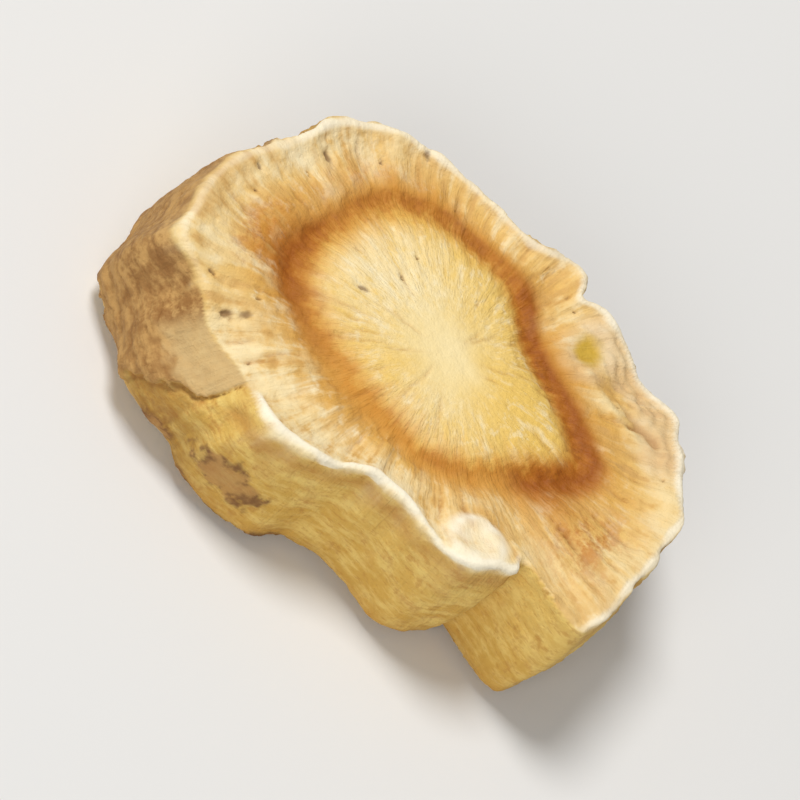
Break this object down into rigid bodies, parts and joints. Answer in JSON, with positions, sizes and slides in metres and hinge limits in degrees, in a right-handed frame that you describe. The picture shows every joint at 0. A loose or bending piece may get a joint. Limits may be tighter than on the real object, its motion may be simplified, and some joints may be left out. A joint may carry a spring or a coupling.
{
  "type": "dried balloon flower root slice",
  "caption": "Thick oval cross-cut slice of dried balloon flower root, with a pale wood core, a sunken brown cambium ring, broad scalloped bark and a wrinkled side.",
  "frame": {"origin": "middle of the slice's bounding box, at the height of the flat spot that it rests on", "axes": "+X along the longest way over the cut face, +Z out of the upper cut face, along the root"},
  "size_m": [0.0166, 0.0122, 0.0047],
  "materials": {
    "dried_root": "matte dried plant tissue, cream to orange-brown"
  },
  "bodies": {
    "root": {"root_slice": "dried_root"}
  },
  "joints": []
}
